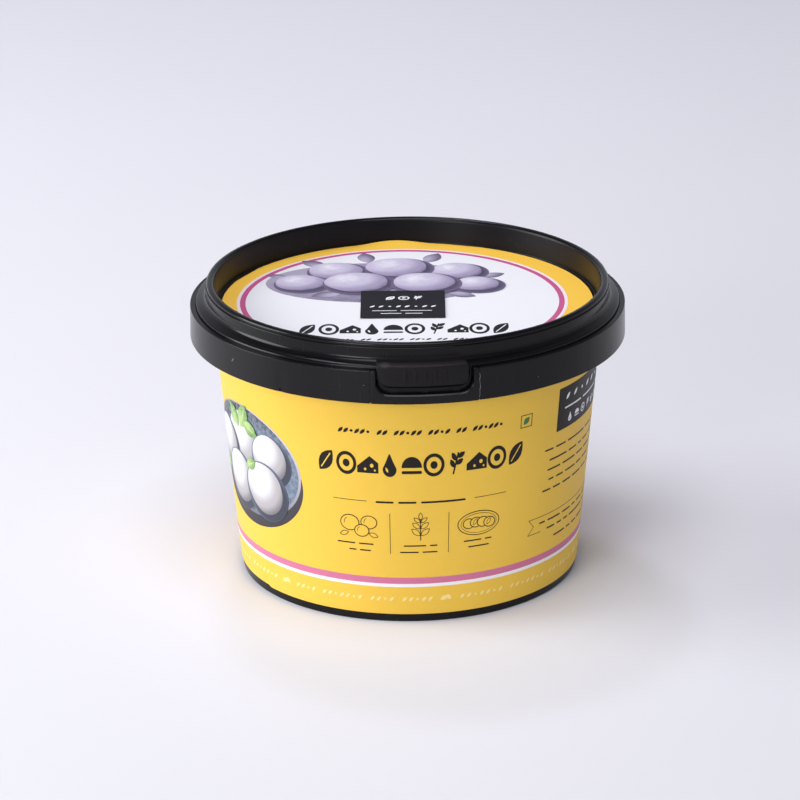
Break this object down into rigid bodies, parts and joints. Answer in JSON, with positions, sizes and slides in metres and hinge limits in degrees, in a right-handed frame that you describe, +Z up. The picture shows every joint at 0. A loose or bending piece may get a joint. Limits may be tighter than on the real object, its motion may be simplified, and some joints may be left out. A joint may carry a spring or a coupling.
{
  "type": "shut plastic tub of fresh cheese",
  "caption": "Round tapered tub with a deep collar, a raised-rim push-on lid with a pull tab, a printed wrap label and a round lid label, shut.",
  "frame": {"origin": "centre of the tub's base, on the surface it stands on", "axes": "+Z up along the tub's axis, -Y towards the pull tab and the front of the label, +X to the right seen from the front"},
  "size_m": [0.1182, 0.1182, 0.0817],
  "materials": {
    "tub_plastic": "black moulded polypropylene, glossy, with fine scratches",
    "lid_plastic": "black moulded polypropylene, satin gloss",
    "wrap_print": "printed yellow film, soft satin",
    "lid_print": "printed white and yellow film, soft satin"
  },
  "bodies": {
    "root": {"tub": "tub_plastic", "lid": "lid_plastic", "wrap_label": "wrap_print", "lid_label": "lid_print"}
  },
  "joints": []
}
